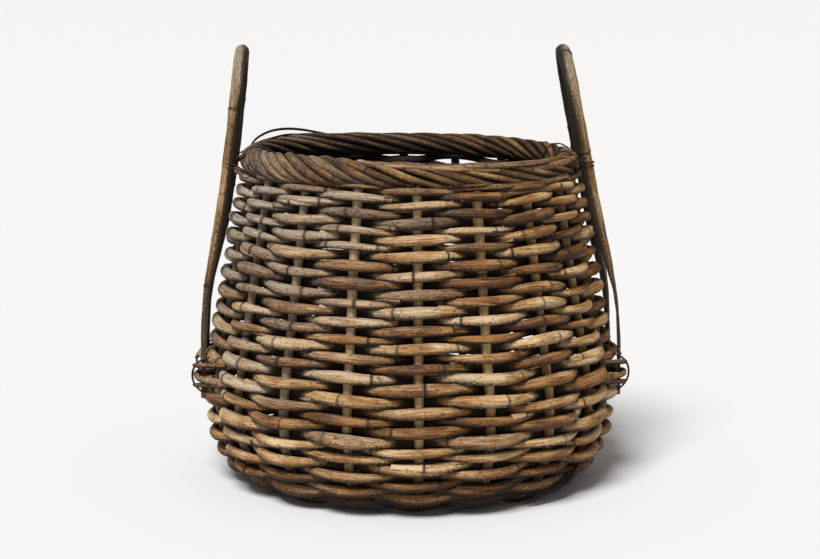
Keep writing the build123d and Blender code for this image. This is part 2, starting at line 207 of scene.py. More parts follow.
def weave(name, rods, sides=SIDES, soil_and_shade=None):
    """One mesh object from a list of rods.  The last argument gives more dirt and painted shade from the
    points and the way they face.
    """
    curve = bpy.data.curves.new(name + "_lines", "CURVE")
    curve.dimensions = "3D"
    curve.bevel_depth = 1.0
    curve.bevel_resolution = (sides - 4) // 2
    for rod in rods:
        spline = curve.splines.new("POLY")
        count = len(rod["points"])
        spline.points.add(count - 1)
        spline.points.foreach_set("co", np.column_stack([rod["points"], np.ones(count)]).ravel())
        spline.points.foreach_set("radius", rod["radius"])
    line = bpy.data.objects.new(name + "_lines", curve)
    mesh = bpy.data.meshes.new_from_object(line)
    mesh.name = name
    bpy.data.objects.remove(line)
    bpy.data.curves.remove(curve)

    def each(key):
        return np.repeat(np.concatenate([rod[key] for rod in rods]), sides, axis=0)

    def all_rod(key):
        return np.repeat(np.concatenate([np.full(len(rod["along"]), rod[key]) for rod in rods]), sides)

    centre, radius, along = each("points"), each("radius"), each("along")
    place = np.zeros(len(mesh.vertices) * 3)
    mesh.vertices.foreach_get("co", place)
    place = place.reshape(-1, 3)
    out = place - centre
    angle = np.tile(np.arange(sides) * 2 * np.pi / sides, len(centre) // sides)
    turn, start = all_rod("turn"), all_rod("start")
    uneven = all_rod("oval") * np.cos(2 * (angle + turn) + 9 * along)
    ridges = 0.022 * np.cos(3 * angle + turn + 120 * along + start)
    uneven += ridges + 0.014 * np.cos(5 * angle + 260 * along - turn)
    place = centre + out * (1 + uneven)[:, None]
    mesh.vertices.foreach_set("co", place.ravel())

    length = np.maximum(np.linalg.norm(out, axis=1), 1e-6)
    facing = out / length[:, None]
    outward = np.column_stack([centre[:, 0], centre[:, 1]])
    outward /= np.maximum(np.linalg.norm(outward, axis=1), 1e-6)[:, None]
    inner_side = -(facing[:, 0] * outward[:, 0] + facing[:, 1] * outward[:, 1])
    # Painted shade, with some dirt: faces that turn into the basket and undersides are darkened.
    dirt_and_shade = each("dirt_and_shade") + INNER_PAINTED_SHADE * np.clip(inner_side, 0, 1)
    dirt_and_shade += UNDER_PAINTED_SHADE * np.clip(UNDER_FROM - facing[:, 2], 0, 1)
    # Everything close to the ground is drawn darker, less grey and with a lower tone.
    low = np.clip(GROUND_START - place[:, 2] / GROUND_REACH, 0, 1)
    dirt_and_shade += GROUND_DARKENING * low
    if soil_and_shade:
        dirt_and_shade += soil_and_shade(place, facing)
    grain = mesh.attributes.new("grain", "FLOAT_VECTOR", "POINT")
    on_rod = np.column_stack([radius * np.cos(angle), radius * np.sin(angle), along + start])
    grain.data.foreach_set("vector", on_rod.ravel())
    look = mesh.attributes.new("look", "FLOAT_COLOR", "POINT")
    grey = np.clip(each("grey") + 0.25 * np.clip(facing[:, 2], 0, 1), 0, 1)
    tone = np.clip(each("tone") - GROUND_SHADE * low, 0, 1)
    values = [tone, grey * (1 - low), np.clip(dirt_and_shade, 0, 1), each("mark")]
    look.data.foreach_set("color", np.column_stack(values).ravel())

    shell = bmesh.new()
    shell.from_mesh(mesh)
    bmesh.ops.holes_fill(shell, edges=[e for e in shell.edges if e.is_boundary], sides=0)
    bmesh.ops.recalc_face_normals(shell, faces=shell.faces)
    shell.to_mesh(mesh)
    shell.free()
    mesh.polygons.foreach_set("use_smooth", [True] * len(mesh.polygons))
    piece = bpy.data.objects.new(name, mesh)
    bpy.context.scene.collection.objects.link(piece)
    return piece


def place_piece(piece, material, slot, *nodes):
    """Gives a finished piece its material and body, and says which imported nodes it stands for."""
    piece.data.materials.clear()
    piece.data.materials.append(material)
    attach(piece, "root")
    if nodes:
        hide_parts(*nodes)
    return piece


print("each rod becomes a tube of", SIDES, "sides")

# %% [markdown]
# ## Weathered rattan
# Rattan cane keeps its skin, so it is smooth and a little glossy when new.  Years outdoors turn it grey where
# the sun and rain reach, and leave it honey brown where it is handled.  The near black between the rods is
# painted shade, with some dirt.
# Long fibres show as fine streaks along the rod.  The real fibres are about 0.3 mm wide, too fine to show, so
# the streaks are drawn about 1.2 mm wide and 40 mm long.
#
# The material is built in layers.  The skin comes first, its colour set by the rod's own tone, its
# streaks and some broad blotches.  Over it come the grey bleaching, small dark pits, the growth rings, and
# last the dirt and painted shade, whose edge is broken up by a fine grit.

# %% Colours and a helper for material nodes
def linear(hex_colour):
    """An sRGB colour such as "8a5a2e" as the linear numbers that Blender works in."""
    parts = [int(hex_colour[n:n + 2], 16) / 255 for n in (0, 2, 4)]
    return tuple(p / 12.92 if p <= 0.04045 else ((p + 0.055) / 1.055) ** 2.4 for p in parts) + (1.0,)


def add_node(tree, kind, settings=None, links=None):
    """Adds a node.  settings are its own options or its sockets' values, and links its sockets' sources."""
    node = tree.nodes.new(kind)
    for key, value in (settings or {}).items():
        if isinstance(key, str) and hasattr(node, key):
            setattr(node, key, value)
        else:
            node.inputs[key].default_value = value
    for key, source in (links or {}).items():
        tree.links.new(source, node.inputs[key])
    return node


def ramp(tree, source, stops):
    """A colour ramp: stops are (place, hex colour)."""
    node = add_node(tree, "ShaderNodeValToRGB", links={0: source})
    elements = node.color_ramp.elements
    for n, (place, colour) in enumerate(stops):
        element = elements[n] if n < 2 else elements.new(place)
        element.position = place
        element.color = linear(colour)
    return node.outputs[0]


print("linear amber:", [round(part, 3) for part in linear("b0864f")])

# %% [markdown]
# Each pattern is noise on the rod's own coordinates, so it follows the rod round every bend.  It has a width
# across the rod and is drawn out along it.

# %% Rattan that has stood outdoors
STREAK_WIDTH, STREAK_LENGTH = 1.2 * MM, 40 * MM
BLOTCH = 14 * MM
SPECK = 2.2 * MM
GRIT = 1.1 * MM
# The last colour is the near black of dirt and of painted shade alike.
PIT_COLOUR, RING_COLOUR, DIRT_AND_SHADE_COLOUR = linear("2c190a"), linear("21140d"), linear("160c05")


def weathered_rattan(name, colours, grey_colours, pits=0.75, roughness=0.62):
    """Rattan cane with its skin on, after years outdoors."""
    material = bpy.data.materials.new(name)
    material.use_nodes = True
    tree = material.node_tree
    tree.nodes.clear()
    grain = add_node(tree, "ShaderNodeAttribute", {"attribute_name": "grain"}).outputs["Vector"]
    look = add_node(tree, "ShaderNodeAttribute", {"attribute_name": "look"})
    parts = add_node(tree, "ShaderNodeSeparateColor", links={0: look.outputs["Color"]})
    tone, grey, dirt_and_shade = parts.outputs[0], parts.outputs[1], parts.outputs[2]
    mark = look.outputs["Alpha"]

    def noise(width, stretch, detail=3.0):
        scale = (1 / width, 1 / width, 1 / (width * stretch))
        scaled = add_node(tree, "ShaderNodeMapping", {"Scale": scale}, {"Vector": grain})
        settings = {"Scale": 1.0, "Detail": detail}
        return add_node(tree, "ShaderNodeTexNoise", settings, {"Vector": scaled.outputs[0]}).outputs[0]

    def feed(node, sockets):
        """Gives each socket its value, or links it to another node's output."""
        for key, value in sockets.items():
            if isinstance(value, bpy.types.NodeSocket):
                tree.links.new(value, node.inputs[key])
            else:
                node.inputs[key].default_value = value

    def maths(operation, first, second, limit=False):
        node = add_node(tree, "ShaderNodeMath", {"operation": operation, "use_clamp": limit})
        feed(node, {0: first, 1: second})
        return node.outputs[0]

    def blend(share, first, second):
        node = add_node(tree, "ShaderNodeMix", {"data_type": "RGBA"})
        feed(node, {0: share, 6: first, 7: second})
        return node.outputs[2]

    streaks = noise(STREAK_WIDTH, STREAK_LENGTH / STREAK_WIDTH, 4.0)
    blotches = noise(BLOTCH, 2.5)
    specks = noise(SPECK, 2.0, 2.0)
    fade = maths("MULTIPLY", maths("SUBTRACT", streaks, 0.5), 1.25)
    blotted = maths("MULTIPLY", maths("SUBTRACT", blotches, 0.5), 1.1)
    level = maths("ADD", maths("ADD", tone, fade), blotted, True)
    skin = ramp(tree, level, colours)
    sunned = maths("ADD", grey, maths("SUBTRACT", specks, 0.62), True)
    pale = maths("ADD", streaks, maths("MULTIPLY", tone, 0.25), True)
    skin = blend(maths("MULTIPLY", sunned, 1.25, True), skin, ramp(tree, pale, grey_colours))
    pit = maths("MULTIPLY", maths("SUBTRACT", 0.43, specks, True), 8.0, True)
    skin = blend(maths("MULTIPLY", pit, pits), skin, PIT_COLOUR)
    ring = maths("MULTIPLY", mark, 1.1, True)
    skin = blend(ring, skin, RING_COLOUR)
    # The dirt layer also lays painted shade: the channel that it reads carries both.
    grit = noise(GRIT, 1.6, 2.0)
    patchy = maths("ADD", maths("MULTIPLY", blotches, 1.2), maths("MULTIPLY", grit, 2.2))
    soil_and_shade = maths("ADD", maths("MULTIPLY", dirt_and_shade, 1.5), maths("SUBTRACT", patchy, 2.07))
    soil_and_shade = maths("MULTIPLY", soil_and_shade, 1.3, True)
    skin = blend(maths("MULTIPLY", soil_and_shade, 0.95), skin, DIRT_AND_SHADE_COLOUR)
    dust_and_shade = maths("ADD", streaks, maths("MULTIPLY", soil_and_shade, 0.6))
    range_of = {"To Min": roughness - 0.15, "To Max": roughness + 0.25}
    rough = add_node(tree, "ShaderNodeMapRange", range_of, {"Value": dust_and_shade})
    height = maths("ADD", maths("MULTIPLY", streaks, 0.7), maths("MULTIPLY", specks, 0.5))
    bump = add_node(tree, "ShaderNodeBump", {"Strength": 0.55, "Distance": 0.6 * MM}, {"Height": height})
    shader = add_node(
        tree, "ShaderNodeBsdfPrincipled", {"IOR": 1.5, "Specular IOR Level": 0.35},
        {"Base Color": skin, "Roughness": rough.outputs[0], "Normal": bump.outputs[0]},
    )
    add_node(tree, "ShaderNodeOutputMaterial", links={0: shader.outputs[0]})
    return material


WEAVER_SKIN = [(0.0, "21110a"), (0.22, "4a2a11"), (0.45, "7e5327"), (0.7, "a97e4a"), (1.0, "d8ba90")]
STAKE_SKIN = [(0.0, "2e1e11"), (0.3, "6b4d2b"), (0.6, "a58255"), (1.0, "d3b588")]
BORDER_SKIN = [(0.0, "20120a"), (0.25, "4a2e15"), (0.5, "7c562a"), (0.75, "a57e4c"), (1.0, "cfad80")]
HANDLE_SKIN = [(0.0, "33200f"), (0.25, "6d4c2a"), (0.5, "9c7a4c"), (0.75, "b99a6c"), (1.0, "d6c09a")]
BLEACHED = [(0.0, "36271b"), (0.35, "665443"), (0.65, "938371"), (1.0, "c6bdb2")]
# The weavers are rattan with its skin on, from dark brown to straw: streaky, pitted and half matt.
WEAVER = weathered_rattan("weathered_rattan_weaver", WEAVER_SKIN, BLEACHED)
# The stakes are stouter rattan and mostly sheltered, so they are paler and have few pits.
STAKE = weathered_rattan("weathered_rattan_stake", STAKE_SKIN, BLEACHED, pits=0.3)
# The border is thinner rattan, rubbed by logs and hands: a warm brown, with painted shade between the strands.
BORDER = weathered_rattan("weathered_rattan_border", BORDER_SKIN, BLEACHED)
# The handles are one thick cane each, polished by hands: smoother than the rest and full of dark pits.
HANDLE = weathered_rattan("weathered_rattan_handle", HANDLE_SKIN, BLEACHED, pits=0.9, roughness=0.5)
print("materials:", [m.name for m in (WEAVER, STAKE, BORDER, HANDLE)])

# %% [markdown]
# ## The weavers of the wall
# Each row goes in front of one stake and behind the next, and the row above does the opposite.  From the side
# that is a wave, and a cosine with nine waves round the basket has just that shape.  A rod is drawn thickest
# in front of a stake and behind one, and thinnest between them.  No rod is long enough for a whole row, so
# each row is pieced from a few rods whose ends overlap behind a stake, or now and then in front of one, where
# the cut end shows.

# %% The rows: where they are and how they wave
steps = ROWS - 1
room = WALL_LENGTH - TOP_ROW_GAP - FIRST_ROW
taper = (steps * LOW_PITCH - room) / (steps * (steps - 1) / 2)
rng = np.random.default_rng(5)
PITCHES = (LOW_PITCH - taper * np.arange(ROWS)) * (1 + 0.2 * rng.uniform(-1, 1, ROWS))
PITCHES *= (room + LOW_PITCH) / PITCHES.sum()
ROW_ALONG = FIRST_ROW + np.concatenate([[0], np.cumsum((PITCHES[:-1] + PITCHES[1:]) / 2)])
rng = np.random.default_rng(7)
COURSE = [(n, rng.uniform(0, 2 * np.pi), rng.uniform(-0.5, 0.5)) for n in (2, 3, 5, 8, 11)]
COURSE_HEIGHT = 0.9 * MM


def course(angle, row):
    """How far the rows near this one rise or sag together, because rods are never quite even."""
    return sum(COURSE_HEIGHT * np.cos(n * angle + phase + rate * row) for n, phase, rate in COURSE)


def front(angle, row):
    """1 where the row is in front of a stake, and -1 where it is behind one."""
    return np.cos(STAKES / 2 * (angle - STAKE_PHASE)) * (1 if row % 2 == 0 else -1)


print("wall rows:", ROWS, "with pitches from", round(float(PITCHES.min() / MM), 1), "to",
      round(float(PITCHES.max() / MM), 1), "mm")

# %% [markdown]
# A rod doesn't move straight in and out of the wall.  It also drops as it comes forward, so its direction is
# part of the way from the wall's own to an upright.  The first rows are flatter, because they lie on the turn
# of the base.  At the feet of the handles, the rows that pass in front swing out over the leg and hold it.

# %% One weaver
TILT, UPRIGHT = 0.45, np.radians(105)
SLIP = np.radians(1.3)
THINNEST, SWELL_FRONT, SWELL_BEHIND = 0.98, 0.28, 0.3
BOW, FRONT_LIFT = 0.27, 0.9 * MM
FLATTEST, ROUND_FROM_ROW = 0.35, 5
FIRST_ROW_DROP = 2.4 * MM
FEET = [STAKE_PHASE + k * STEP for k in (4, 5, 13, 14)]
FOOT_LOW, FOOT_HELD = 103 * MM, 40 * MM
FOOT_OUT, FOOT_ANGLE, FOOT_THINNING = 26.5 * MM, np.radians(7.5), 0.45


def weaver_line(row, angle, rng):
    """Points of a weaver at those angles, with its thickness, dirt and painted shade there."""
    radius, height, turn = (float(v) for v in wall(ROW_ALONG[row]))
    size = PITCHES[row] - ROW_CLEARANCE
    arc = angle * radius
    wave = front(angle + SLIP * wander(arc, rng, 0.09), row)
    swell = SWELL_FRONT * np.clip(wave, 0, 1) + SWELL_BEHIND * np.clip(-wave, 0, 1)
    full = size * (THINNEST + swell) * (1 + 0.07 * wander(arc, rng, 0.08))
    reach = (STAKE_SIZE + size) / 2
    heading = turn + TILT * (UPRIGHT - turn)
    flat = FLATTEST + (1 - FLATTEST) * min(1.0, row / ROUND_FROM_ROW)
    out = wave + BOW * (1 - wave**2)
    offset = (out * reach * flat + FRONT_LIFT * np.clip(wave, 0, 1)) / np.cos(heading - turn)
    over = np.zeros(len(angle))
    if FOOT_LOW + size / 2 < height < FOOT_LOW + FOOT_HELD:
        for foot in FEET:
            away = np.abs((angle - foot + np.pi) % (2 * np.pi) - np.pi)
            if front(foot, row) > 0:
                over = np.maximum(over, np.clip(1.35 - away / FOOT_ANGLE, 0, 1))
        over = over * over * (3 - 2 * over)
    offset = offset * (1 - over) + FOOT_OUT * over
    full = full * (1 - FOOT_THINNING * over)
    r = radius + offset * np.sin(heading)
    z = height - offset * np.cos(heading) + course(angle, row) * min(1.0, row / 4)
    z = z - FIRST_ROW_DROP * (row == 0)
    jitter = (wander(arc, rng, 0.05) * 0.4 + wander(arc, rng, 0.11) * 0.6) * MM
    # Painted shade: the rod darkens where it goes behind a stake and where it isn't in front of one.  Where it
    # swings out over a foot it is darker as well.
    behind = np.clip((-0.15 * reach - offset) / (0.75 * reach), 0, 1) ** 0.8
    dirt_and_shade = behind + 0.22 * (1 - np.clip(wave, 0, 1)) + 0.35 * over
    return around(r, np.maximum(z + jitter, full / 2), angle), full, dirt_and_shade


sample = weaver_line(18, np.arange(0, 2 * np.pi, 0.01), np.random.default_rng(1))[1]
print("row 19 is", round(float(sample.min() / MM), 1), "to", round(float(sample.max() / MM), 1), "mm thick")

# %% [markdown]
# The rods of a row are laid end to end round the basket.  Each end is thinned, and set a little above or below
# the rod that it meets.  The rods high on the left have had the most sun and are the greyest.

# %% Piece a row together
TONES, TONE_SHARES = [0.3, 0.47, 0.6, 0.73, 0.88], [0.12, 0.23, 0.27, 0.24, 0.14]
# Painted light: the lower rows of the belly are drawn paler, in place of light on their down-facing rods.
PAINTED_LIGHT_ROWS, PAINTED_LIGHT_BY = [0, 8, 20, ROWS], [0.1, 0.2, 0.0, 0.03]


def row_rods(row):
    """The rods that a row is pieced from."""
    rng = np.random.default_rng(100 + row)
    pieces = int(rng.integers(3, 5))
    starts = np.sort(rng.uniform(0, 2 * np.pi, pieces) + np.arange(pieces) * 2 * np.pi) / pieces
    nearest = np.round((starts - STAKE_PHASE) / STEP).astype(int)
    hidden = rng.random(pieces) > 0.3
    nearest += ((nearest + row) % 2 == 0) == hidden
    nearest = np.unique(nearest % STAKES)
    rods = []
    for n, first in enumerate(nearest):
        last = nearest[n + 1] if n + 1 < len(nearest) else nearest[0] + STAKES
        lap = np.radians(rng.uniform(7, 15))
        begin, end = STAKE_PHASE + first * STEP - lap, STAKE_PHASE + last * STEP + lap
        angle = np.arange(begin, end, np.radians(0.6))
        line, full, dirt_and_shade = weaver_line(row, angle, rng)
        ends = np.clip(np.minimum(angle - angle[0], angle[-1] - angle) / (2 * lap), 0, 1)
        share = ends * ends * (3 - 2 * ends)
        up = np.where(angle < angle.mean(), 1.0, -1.0) * (1 - share) * PITCHES[row] * 0.27
        line[:, 2] += up
        narrowing = np.linspace(rng.uniform(1.0, 1.12), rng.uniform(0.86, 0.98), len(angle))
        thick = full * (0.72 + 0.28 * share) * narrowing
        side = -np.sin(angle)
        tone = rng.choice(TONES, p=TONE_SHARES) + rng.uniform(-0.06, 0.06)
        # Painted light: a paler tone for the lower rows.
        tone += np.interp(row, PAINTED_LIGHT_ROWS, PAINTED_LIGHT_BY)
        grey = rng.uniform(-0.2, 0.25) + 0.65 * side * (row / ROWS) + 0.2 * (row / ROWS) ** 1.5
        rods.append(make_rod(line, thick, rng, tone, grey, dirt_and_shade, knots=rng.uniform(0.10, 0.2)))
    return rods


print("row 19 is pieced from", len(row_rods(18)), "rods")

# %% [markdown]
# Thin canes fill what is left: slivers lie in the grooves between rows here and there, two thin rows sit tight
# under the border, and two more go round the bottom edge.

# %% Thin canes in the grooves
def sliver(row, rng):
    """A short thin cane that lies in the groove above a row."""
    middle = rng.uniform(0, 2 * np.pi)
    angle = np.arange(middle - rng.uniform(0.12, 0.3), middle + rng.uniform(0.12, 0.3), np.radians(0.8))
    radius, height = (float(v) for v in wall(ROW_ALONG[row] + PITCHES[row] / 2)[:2])
    size = rng.uniform(2.2, 4.2) * MM
    out = (4.2 + 2.2 * front(angle, row)) * MM + 0.8 * MM * wander(angle * radius, rng, 0.03)
    ends = np.minimum(angle - angle[0], angle[-1] - angle) / 0.06
    line = around(radius + out, height + course(angle, row), angle)
    thick = size * (0.35 + 0.65 * np.clip(ends, 0, 1))
    return make_rod(line, thick, rng, rng.uniform(0.2, 0.6), rng.uniform(0, 0.4), 0.15, knots=0.3)


def thin_row(along, size, parity, reach, seed):
    """A thin weaver that goes all the way round at a length along the wall, with its ends lapped."""
    rng = np.random.default_rng(seed)
    begin = rng.uniform(0, 2 * np.pi)
    angle = np.arange(begin, begin + 2 * np.pi + np.radians(14), np.radians(0.8))
    radius, height, turn = (float(v) for v in wall(along))
    heading = turn + TILT * (UPRIGHT - turn)
    wave = front(angle, parity)
    offset = wave * reach
    height = height + 0.6 * MM * wander(angle * radius, rng, 0.05)
    thick = size * (1 + 0.15 * wander(angle * radius, rng, 0.06))
    height = np.maximum(height - offset * np.cos(heading), size / 2)
    line = around(radius + offset * np.sin(heading), height, angle)
    # Painted shade where the cane goes behind a stake, over a little dirt.
    dirt_and_shade = 0.15 + 0.5 * np.clip(-wave, 0, 1)
    grey = rng.uniform(0, 0.3) - 0.4 * np.sin(angle)
    return make_rod(line, thick, rng, rng.uniform(0.35, 0.6), grey, dirt_and_shade, knots=0.2)


# %% Weave the wall
EXTRA_ROWS = {
    # row: the length along the wall of each thin row beside it, its size, its parity, its reach and its seed
    0: [(9 * MM, 5.5 * MM, 1, 8 * MM, 31), (20 * MM, 5 * MM, 0, 9 * MM, 32)],
    ROWS - 1: [
        (WALL_LENGTH - 2 * MM, 8.5 * MM, ROWS, (STAKE_SIZE + 8.5 * MM) / 2, 33),
        (WALL_LENGTH + 4 * MM, 6.5 * MM, ROWS + 1, (STAKE_SIZE + 4 * MM) / 2, 34),
    ],
}
rod_count = 0
for row in range(ROWS):
    rng = np.random.default_rng(200 + row)
    rods = row_rods(row) + [sliver(row, rng) for _ in range(int(rng.integers(1, 4)))]
    rods += [thin_row(*sizes) for sizes in EXTRA_ROWS.get(row, [])]
    place_piece(weave(f"wall_row_{row + 1:02d}", rods), WEAVER, "rattan_weaver", f"weaver_{row + 1:02d}")
    rod_count += len(rods)
print("the wall has", rod_count, "rods in", ROWS, "pieces")

# %% [markdown]
# ## The stakes
# Nine long rods cross at the middle of the base, five below and four above, fan out into spokes and turn up as
# the stakes.  They could be 18 separate stakes, but then the crossing under the logs would be wrong.  The line
# of each is worked out as one half, from the middle outwards, and the other half is the same line the other
# way.

# %% The long rods
CROSSING_PITCH, CROSSING_HALF, FAN_RADIUS = 11.2 * MM, 33 * MM, 60 * MM
LAYER = (STAKE_SIZE + 0.2 * MM) / 2
SWAY = 0.6 * MM / 0.2


def spread(points, spacing=4 * MM):
    """More points along a line, evenly spaced and smoothed where it bends."""
    points = np.asarray(points, float)
    runs = np.concatenate([[0], np.cumsum(np.linalg.norm(np.diff(points, axis=0), axis=1))])
    stops = np.linspace(0, runs[-1], max(4, int(runs[-1] / spacing)))
    line = np.stack([np.interp(stops, runs, points[:, axis]) for axis in range(3)], axis=1)
    for _ in range(6):
        line[1:-1] = (line[:-2] + 2 * line[1:-1] + line[2:]) / 4
    return line


def stake_rods():
    """The nine long rods."""
    lower = (STAKES // 2 + 1) // 2
    start = round((np.pi / 2 - STAKE_PHASE) / STEP - (lower - 1) / 2)
    rises = np.linspace(BASE_RADIUS * -0.6, WALL_LENGTH + 6 * MM, 130)
    radius, height = wall(rises)[:2]
    rods = []
    for index in range(STAKES // 2):
        rng = np.random.default_rng(300 + index)
        first, count, layer = (0, lower, -1) if index < lower else (lower, STAKES // 2 - lower, 1)
        slot = index - first - (count - 1) / 2
        heading = STAKE_PHASE + STEP * (start + first + (count - 1) / 2)
        level = np.array([0, 0, BASE_MIDDLE + layer * LAYER])
        halves = []
        for way, angle in ((1, heading + STEP * slot), (-1, heading + np.pi - STEP * slot)):
            along = around(1, 0, heading) * way
            aside = around(1, 0, heading + np.pi / 2) * CROSSING_PITCH * slot
            side = around(radius, height, angle + SWAY * wander(rises, rng, 0.08))
            fan = around(FAN_RADIUS, BASE_MIDDLE, angle)
            corner = [aside + level, aside + along * CROSSING_HALF + level, fan]
            halves.append(np.concatenate([corner, side]))
        line = spread(np.concatenate([halves[1][::-1], halves[0][1:]]))
        grey = rng.uniform(0.0, 0.35) + 0.5 * np.clip(-line[:, 0] / 0.2, -0.5, 1)
        size = STAKE_SIZE * rng.uniform(1.02, 1.14)
        rods.append(make_rod(line, size, rng, rng.uniform(0.55, 0.85), grey, 0.12, knots=0.22))
    return rods


for index, rod in enumerate(stake_rods()):
    place_piece(weave(f"stake_pair_{index + 1}", [rod]), STAKE, "rattan_rod", f"stake_rod_{index + 1}")
print("long rods:", index + 1, "and the last is", round(float(rod["along"][-1]), 2), "m long")

# %% [markdown]
# ## The base
# Thin weavers go round the middle of the base and thicker ones round its outside, each over one spoke and
# under the next.  Their ends lap, so each one moves outwards a little on its way round, to lie beside its own
# start.

# %% Weave the base
OUTER_SIZE, INNER_SIZE, BASE_GAP = 8 * MM, 5 * MM, 1.2 * MM
OUTER_WEAVERS, INNER_WEAVERS, INNER_START = 8, 5, 76 * MM
BASE_LAP = np.radians(16)


def base_rods(radii, size, seed):
    """One weaver at each radius."""
    rods = []
    for n, radius in enumerate(radii):
        rng = np.random.default_rng(seed + n)
        begin = rng.uniform(0, 2 * np.pi)
        fineness = np.radians(1.0 if radius > 0.1 else 1.6)
        angle = np.arange(begin, begin + 2 * np.pi + BASE_LAP, fineness)
        wave = np.cos(STAKES / 2 * (angle - STAKE_PHASE)) * (-1 if n % 2 else 1)
        height = BASE_MIDDLE + wave * (STAKE_SIZE + size) / 2
        moved = np.linspace(-0.5, 0.5, len(angle)) * size * 0.6
        wide = radius + wander(angle * radius, rng, 0.04) * 0.6 * MM + moved
        line = around(wide, np.maximum(height, size / 2), angle)
        thick = size * (1 + 0.08 * wander(angle * radius, rng, 0.05))
        tone, grey = rng.uniform(0.25, 0.6), rng.uniform(0.0, 0.3)
        rods.append(make_rod(line, thick, rng, tone, grey, 0.35, knots=0.16))
    return rods


last = float(wall(FIRST_ROW)[0]) - (LOW_PITCH - ROW_CLEARANCE + OUTER_SIZE) / 2 - ROW_CLEARANCE
outer = base_rods([last - (OUTER_SIZE + BASE_GAP) * n for n in range(OUTER_WEAVERS)], OUTER_SIZE, 400)
inner = base_rods([INNER_START + (INNER_SIZE + BASE_GAP) * n for n in range(INNER_WEAVERS)], INNER_SIZE, 420)
place_piece(weave("base_weave_outer", outer), WEAVER, "rattan_weaver", "base_weavers_outer")
place_piece(weave("base_weave_inner", inner), WEAVER, "rattan_weaver", "base_weavers_inner")
print("weavers in the base:", len(outer), "outside and", len(inner), "inside")

# %% [markdown]
# ## The roped border
# Eight strands are laid round each other like a rope and go once round the rim, with five turns.  Each is a
# helix about the border's middle, and because the turns are a whole number, each strand comes back to its own
# place.  The lay isn't even: it is steep and loose at the left of the front, and opens out at the right, where
# the maker finished.  The imported model has six strands, so two of the six pieces here hold a second one.  A
# core rod fills the middle of the rope, and its darkness is painted shade.

# %% Rope the border
STRANDS, STRAND_NODES = 8, 6
STRAND_SIZE, STRAND_CIRCLE = 8.2 * MM, 10.2 * MM
CORE_SIZE = 13 * MM
LAY_TURNS, LAY_SWING, LAY_RIPPLE = 5, 1.3, 0.75
STEEPEST, LOOSEST, HIGHEST = np.radians(-50), np.radians(-43), np.radians(-122)
BORDER_RADIUS = float(wall(WALL_LENGTH)[0]) - 3.7 * MM
GROOVE_EDGE, GROOVE_SOFTNESS = 13.9 * MM, 2.6 * MM


def lay(angle):
    """How far the rope has turned at an angle: fast at the left of the front, and slowly at the right."""
    away = angle - STEEPEST
    return LAY_TURNS * angle + LAY_SWING * np.sin(away) + LAY_RIPPLE * np.sin(2 * away)


def loosened(angle):
    """1 where the rope is loosest, and 0 where it is tight."""
    return np.clip(np.cos(angle - LOOSEST), 0, 1) ** 6


def rim_height(angle):
    """The rope is bent a little out of level, and stands highest at the left of the back."""
    around_back = np.clip(np.cos(angle - HIGHEST), 0, 1) ** 5
    height = BORDER_HEIGHT + 1.5 * MM * np.sin(2 * angle + 2.4) - 1.0 * MM * np.sin(angle)
    return height + 6 * MM * around_back + 1 * MM * loosened(angle)


def groove(place, facing):
    """Painted shade for the rope: between its strands, and at the back.  The side that faces inwards gets
    less.
    """
    radius = np.hypot(place[:, 0], place[:, 1])
    deep = np.hypot(radius - BORDER_RADIUS, place[:, 2] - rim_height(np.arctan2(place[:, 0], -place[:, 1])))
    inward = -(facing[:, 0] * place[:, 0] + facing[:, 1] * place[:, 1]) / radius
    behind = np.clip(place[:, 1] / BORDER_RADIUS, 0, 1)
    # Painted shade between the strands and at the back; faces that turn inwards get less of it.
    between = np.clip((GROOVE_EDGE - deep) / GROOVE_SOFTNESS, 0, 1)
    return between + 0.22 * behind - 0.5 * np.clip(inward, 0, 1)


for index in range(STRAND_NODES):
    rods = []
    for strand in range(index, STRANDS, STRAND_NODES):
        rng = np.random.default_rng(500 + strand)
        begin = rng.uniform(0, 2 * np.pi)
        angle = np.arange(begin, begin + 2 * np.pi + np.radians(20), np.radians(0.8))
        rope = angle * BORDER_RADIUS
        slack = loosened(angle)
        circle = STRAND_CIRCLE + (wander(rope, rng, 0.05) * 1.1 + 2.6 * slack) * MM
        turn = strand * 2 * np.pi / STRANDS - lay(angle) + 0.12 * wander(rope, rng, 0.06)
        line = around(BORDER_RADIUS + circle * np.cos(turn), rim_height(angle) + circle * np.sin(turn), angle)
        thick = STRAND_SIZE * (1 + 0.12 * wander(rope, rng, 0.07) + 0.22 * slack)
        grey = rng.uniform(-0.15, 0.2) - 0.4 * np.sin(angle)
        tone = rng.uniform(0.24, 0.54) + 0.1 * np.sin(angle)
        rods.append(make_rod(line, thick, rng, tone, grey, 0.06, knots=0.24))
    # Painted shade: the core is made dark because it lies where there is only shade, inside the rope.
    if index == 0:
        angle = np.arange(0, 2 * np.pi + np.radians(6), np.radians(1.2))
        line = around(BORDER_RADIUS, rim_height(angle), angle)
        rods.append(make_rod(line, CORE_SIZE, rng, 0.3, 0.0, 0.9, knots=0.3))
    name = f"border_rope_{index + 1}"
    place_piece(weave(name, rods, soil_and_shade=groove), BORDER, "rattan_border", f"border_strand_{index + 1}")
print("the rope has", STRANDS, "strands and", round((lay(2 * np.pi) - lay(0)) / (2 * np.pi), 2), "turns")

# %% [markdown]
# ## The handles
# Each handle is one thick cane, steamed and bent into a hoop.  The line is a few straight runs joined by arcs.
# The foot of each leg was shaved flat on the inside, so that it lies against the wall: the points of the mesh
# that stand too far in are pushed out onto a plane, which is just what a knife does.

